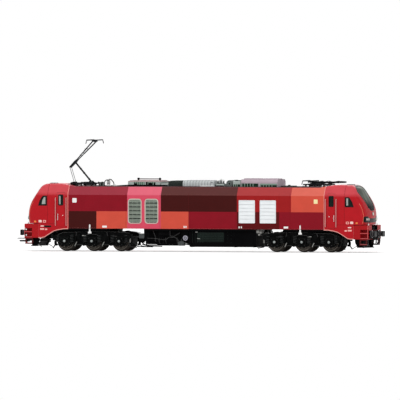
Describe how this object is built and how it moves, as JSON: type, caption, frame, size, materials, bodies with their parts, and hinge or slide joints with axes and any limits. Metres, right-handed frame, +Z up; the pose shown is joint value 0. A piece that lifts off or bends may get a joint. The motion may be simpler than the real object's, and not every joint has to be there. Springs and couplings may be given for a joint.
{
  "type": "scale model electric locomotive",
  "caption": "H0 scale model of a six-axle electric locomotive with two pantographs and a round-nosed cab at each end; it runs on 16.5 mm gauge model track.",
  "frame": {"origin": "on the track centre line, midway between the two bogie pivots, at the level of the lowest points of the wheel flanges", "axes": "+X along the track towards the cab without a coupling, +Y across the track, +Z up"},
  "size_m": [0.2699, 0.035, 0.0798],
  "materials": {
    "cab_paint": "satin",
    "dark_glass": "gloss",
    "body_paint": "satin",
    "grille_grey": "matte",
    "grille_white": "matte",
    "chassis_black": "matte",
    "bumper_red": "satin",
    "buffer_black": "matte",
    "bogie_black": "matte",
    "cap_silver": "satin",
    "pipe_dark": "satin",
    "wheel_steel": "satin",
    "box_lilac": "matte",
    "roof_grey": "matte",
    "roof_dark": "matte",
    "bar_metal": "satin",
    "insulator_grey": "matte",
    "panto_metal": "satin",
    "rail_pale": "satin",
    "lamp_black": "gloss",
    "hose_black": "matte"
  },
  "bodies": {
    "root": {"cab_shell_right": "cab_paint", "cab_shell_left": "cab_paint", "cab_doors": "cab_paint", "windscreen_right": "dark_glass", "windscreen_left": "dark_glass", "cab_windows": "dark_glass", "body_shell": "body_paint", "oval_grilles": "grille_grey", "louvre_grilles": "grille_white", "chassis": "chassis_black", "coupler_mount": "chassis_black", "air_equipment": "chassis_black", "fuel_tank": "chassis_black", "bumper_right": "bumper_red", "bumper_left": "bumper_red", "buffers": "buffer_black", "plough_right": "buffer_black", "plough_left": "buffer_black", "grey_box": "box_lilac", "brake_resistor": "roof_grey", "ribbed_fairing": "roof_grey", "radiator": "roof_grey", "silencer_housing": "roof_grey", "roof_covers": "roof_grey", "louvred_box": "roof_dark", "exhaust_drum": "roof_dark", "busbar": "bar_metal", "busbar_insulators": "insulator_grey", "panto_insulators": "insulator_grey", "panto_frame_left": "panto_metal", "panto_frame_right": "panto_metal", "handrails": "rail_pale", "lamp_bands": "lamp_black", "brake_hoses_right": "hose_black"},
    "bogie_left": {"bogie_frame_left": "bogie_black", "axle_caps_left": "cap_silver", "sand_pipes_left": "pipe_dark"},
    "axle_1": {"wheelset_1": "wheel_steel"},
    "axle_2": {"wheelset_2": "wheel_steel"},
    "axle_3": {"wheelset_3": "wheel_steel"},
    "arm_left": {"panto_arm_left": "panto_metal"},
    "fork_left": {"panto_fork_left": "panto_metal"},
    "pan_left": {"panto_pan_left": "panto_metal"},
    "thrust_left": {"panto_thrust_left": "panto_metal"},
    "bogie_right": {"bogie_frame_right": "bogie_black", "axle_caps_right": "cap_silver", "sand_pipes_right": "pipe_dark"},
    "axle_4": {"wheelset_4": "wheel_steel"},
    "axle_5": {"wheelset_5": "wheel_steel"},
    "axle_6": {"wheelset_6": "wheel_steel"},
    "arm_right": {"panto_arm_right": "panto_metal"},
    "fork_right": {"panto_fork_right": "panto_metal"},
    "pan_right": {"panto_pan_right": "panto_metal"},
    "thrust_right": {"panto_thrust_right": "panto_metal"},
    "coupling": {"coupler": "buffer_black"}
  },
  "joints": [
    {"name": "bogie_swing_left", "type": "hinge", "parent": "root", "child": "bogie_left", "pos_m": [-0.0785, 0, 0.0116], "axis": [0, 0, 1], "range_deg": [-12, 12]},
    {"name": "bogie_swing_right", "type": "hinge", "parent": "root", "child": "bogie_right", "pos_m": [0.0785, 0, 0.0116], "axis": [0, 0, 1], "range_deg": [-12, 12]},
    {"name": "wheel_roll_1", "type": "hinge", "parent": "bogie_left", "child": "axle_1", "pos_m": [-0.0989, 0, 0.00735], "axis": [0, 1, 0], "continuous": true},
    {"name": "wheel_roll_2", "type": "hinge", "parent": "bogie_left", "child": "axle_2", "pos_m": [-0.0785, 0, 0.00735], "axis": [0, 1, 0], "continuous": true},
    {"name": "wheel_roll_3", "type": "hinge", "parent": "bogie_left", "child": "axle_3", "pos_m": [-0.0581, 0, 0.00735], "axis": [0, 1, 0], "continuous": true},
    {"name": "wheel_roll_4", "type": "hinge", "parent": "bogie_right", "child": "axle_4", "pos_m": [0.0581, 0, 0.00735], "axis": [0, 1, 0], "continuous": true},
    {"name": "wheel_roll_5", "type": "hinge", "parent": "bogie_right", "child": "axle_5", "pos_m": [0.0785, 0, 0.00735], "axis": [0, 1, 0], "continuous": true},
    {"name": "wheel_roll_6", "type": "hinge", "parent": "bogie_right", "child": "axle_6", "pos_m": [0.0989, 0, 0.00735], "axis": [0, 1, 0], "continuous": true},
    {"name": "coupling_swing", "type": "hinge", "parent": "root", "child": "coupling", "pos_m": [-0.1149, 0, 0.0078], "axis": [0, 0, 1], "range_deg": [-10, 10]},
    {"name": "panto_fold_left", "type": "hinge", "parent": "root", "child": "arm_left", "pos_m": [-0.0832, 0, 0.0496], "axis": [0, -1, 0], "range_deg": [0, 47.4]},
    {"name": "knee_left", "type": "hinge", "parent": "arm_left", "child": "fork_left", "pos_m": [-0.0952, 0, 0.0636], "axis": [0, -1, 0], "range_deg": [-93.9, 0.5]},
    {"name": "pan_level_left", "type": "hinge", "parent": "fork_left", "child": "pan_left", "pos_m": [-0.08071, 0, 0.07861], "axis": [0, -1, 0], "range_deg": [-0.5, 46.5]},
    {"name": "thrust_swing_left", "type": "hinge", "parent": "root", "child": "thrust_left", "pos_m": [-0.09538, 0, 0.0492], "axis": [0, -1, 0], "range_deg": [-0.5, 68.26]},
    {"name": "panto_raise_right", "type": "hinge", "parent": "root", "child": "arm_right", "pos_m": [0.0832, 0, 0.0496], "axis": [0, -1, 0], "range_deg": [0, 47.4]},
    {"name": "knee_right", "type": "hinge", "parent": "arm_right", "child": "fork_right", "pos_m": [0.10163, 0, 0.05024], "axis": [0, -1, 0], "range_deg": [-93.9, 0.5]},
    {"name": "pan_level_right", "type": "hinge", "parent": "fork_right", "child": "pan_right", "pos_m": [0.08077, 0, 0.05024], "axis": [0, -1, 0], "range_deg": [-0.5, 46.5]},
    {"name": "thrust_swing_right", "type": "hinge", "parent": "root", "child": "thrust_right", "pos_m": [0.09538, 0, 0.0492], "axis": [0, -1, 0], "range_deg": [-0.5, 68.26]}
  ],
  "couplings": [
    {"joint": "knee_left", "follows": "panto_fold_left", "ratio": -1.9705},
    {"joint": "pan_level_left", "follows": "panto_fold_left", "ratio": 0.9705},
    {"joint": "thrust_swing_left", "follows": "panto_fold_left", "ratio": 1.4295},
    {"joint": "knee_right", "follows": "panto_raise_right", "ratio": -1.9705},
    {"joint": "pan_level_right", "follows": "panto_raise_right", "ratio": 0.9705},
    {"joint": "thrust_swing_right", "follows": "panto_raise_right", "ratio": 1.4295}
  ]
}
